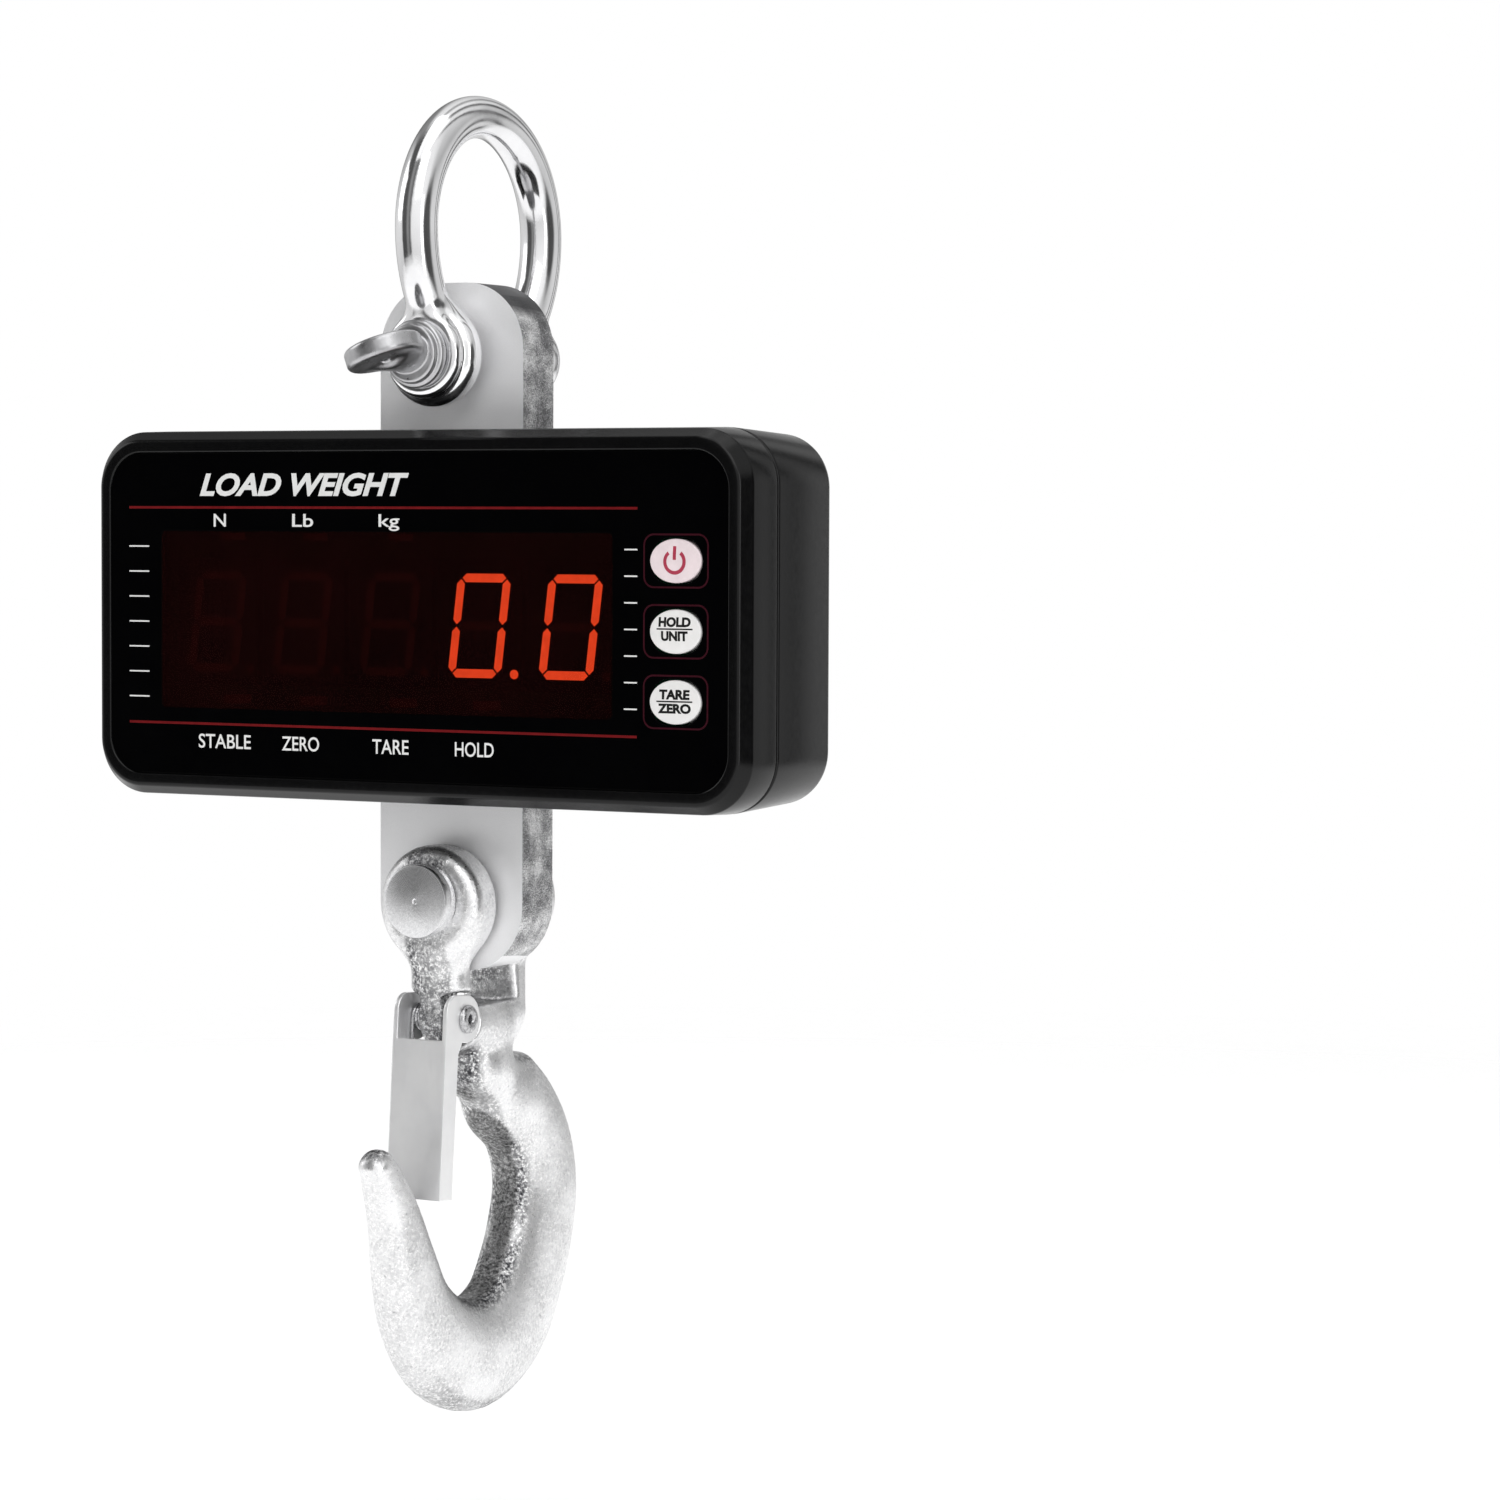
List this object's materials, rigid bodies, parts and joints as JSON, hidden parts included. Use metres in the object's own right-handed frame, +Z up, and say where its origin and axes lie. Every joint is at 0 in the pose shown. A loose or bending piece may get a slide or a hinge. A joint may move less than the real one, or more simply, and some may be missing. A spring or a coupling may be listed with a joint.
{
  "type": "crane scale",
  "caption": "Hanging crane scale: load cell on a bow shackle, flat housing with LED weight display and keys, and a latched clevis hook.",
  "frame": {"origin": "inside crown of the shackle bow, where the crane's hook carries the scale, on the bow's middle plane", "axes": "+Z up along the load line, +X to the right as the display is read, -Y out of the display"},
  "size_m": [0.2186, 0.1071, 0.3774],
  "materials": {
    "chrome_shackle": "mirror-polished zinc-chrome plate",
    "chrome_pin": "bright plated, forged tab",
    "satin_aluminium": "fine sand-blasted, satin",
    "gauge_foil": "foil on film",
    "board_green": "solder mask",
    "wire_red": "insulated wire",
    "black_paint": "satin black paint on die casting",
    "black_rubber": "matt",
    "dark_steel": "black oxide",
    "panel_black": "glossy printed film",
    "smoked_window": "smoked red acrylic, gloss",
    "digit_dark": "LED segments",
    "led_red": "clear red",
    "receiver_dark": "infrared filter plastic",
    "zinc_screw": "zinc plated",
    "key_pink": "satin",
    "key_white": "satin",
    "switch_plastic": "moulded",
    "brass_standoff": "turned",
    "black_plastic": "moulded",
    "battery_sleeve": "shrink sleeve",
    "forged_zinc": "drop forged, shot-blasted and bright zinc plated",
    "turned_steel": "lathe turned, zinc plated",
    "latch_sheet": "stamped sheet, bright",
    "spring_steel": "spring wire"
  },
  "bodies": {
    "shackle": {"shackle_bow": "chrome_shackle"},
    "shackle_pin": {"shackle_pin": "chrome_pin"},
    "scale_body": {"load_cell": "satin_aluminium", "strain_gauges": "gauge_foil", "cell_board": "board_green", "cell_wiring": "wire_red", "front_shell": "black_paint", "rear_shell": "black_paint", "seam_gasket": "black_rubber", "slot_seals": "black_rubber", "case_screws": "dark_steel", "cell_screws": "dark_steel", "panel_overlay": "panel_black", "display_window": "smoked_window", "digit_1": "digit_dark", "digit_2": "digit_dark", "digit_3": "digit_dark", "digit_4": "digit_dark", "digit_5": "digit_dark", "indicator_leds": "led_red", "remote_receiver": "receiver_dark", "display_board": "board_green", "display_screws": "zinc_screw", "key_switches": "switch_plastic", "main_board": "board_green", "board_standoffs": "brass_standoff", "board_screws": "zinc_screw", "buzzer": "black_plastic", "battery_cells": "battery_sleeve", "battery_holder": "black_plastic", "battery_leads": "wire_red", "charge_jack": "black_plastic"},
    "power_key": {"key_power": "key_pink"},
    "hold_unit_key": {"key_hold_unit": "key_white"},
    "tare_zero_key": {"key_tare_zero": "key_white"},
    "jack_plug": {"jack_plug": "black_rubber"},
    "hook": {"hook_body": "forged_zinc", "clevis_pin": "turned_steel", "cotter_pin": "turned_steel", "latch_rivet": "turned_steel"},
    "latch": {"latch_plate": "latch_sheet", "latch_spring": "spring_steel"}
  },
  "joints": [
    {"name": "body_swing", "type": "hinge", "parent": "shackle", "child": "scale_body", "pos_m": [0, -0.007, -0.0625], "axis": [0, 1, 0], "range_deg": [-90, 90]},
    {"name": "pin_withdraw", "type": "slide", "parent": "shackle", "child": "shackle_pin", "axis": [0, -1, 0], "range_m": [0, 0.07]},
    {"name": "hook_swing", "type": "hinge", "parent": "scale_body", "child": "hook", "pos_m": [0, -0.0055, -0.2161], "axis": [0, 1, 0], "range_deg": [-90, 90]},
    {"name": "latch_open", "type": "hinge", "parent": "hook", "child": "latch", "pos_m": [0, -0.0205, -0.2501], "axis": [1, 0, 0], "range_deg": [0, 40], "stiffness_Nm_per_rad": 0.06, "springref_deg": -28.65},
    {"name": "power_key_press", "type": "slide", "parent": "scale_body", "child": "power_key", "axis": [0, 1, 0], "range_m": [0, 0.0005], "stiffness_N_per_m": 2500},
    {"name": "hold_unit_key_press", "type": "slide", "parent": "scale_body", "child": "hold_unit_key", "axis": [0, 1, 0], "range_m": [0, 0.0005], "stiffness_N_per_m": 2500},
    {"name": "tare_zero_key_press", "type": "slide", "parent": "scale_body", "child": "tare_zero_key", "axis": [0, 1, 0], "range_m": [0, 0.0005], "stiffness_N_per_m": 2500},
    {"name": "jack_plug_pull", "type": "slide", "parent": "scale_body", "child": "jack_plug", "axis": [0, 1, 0], "range_m": [0, 0.008]}
  ]
}
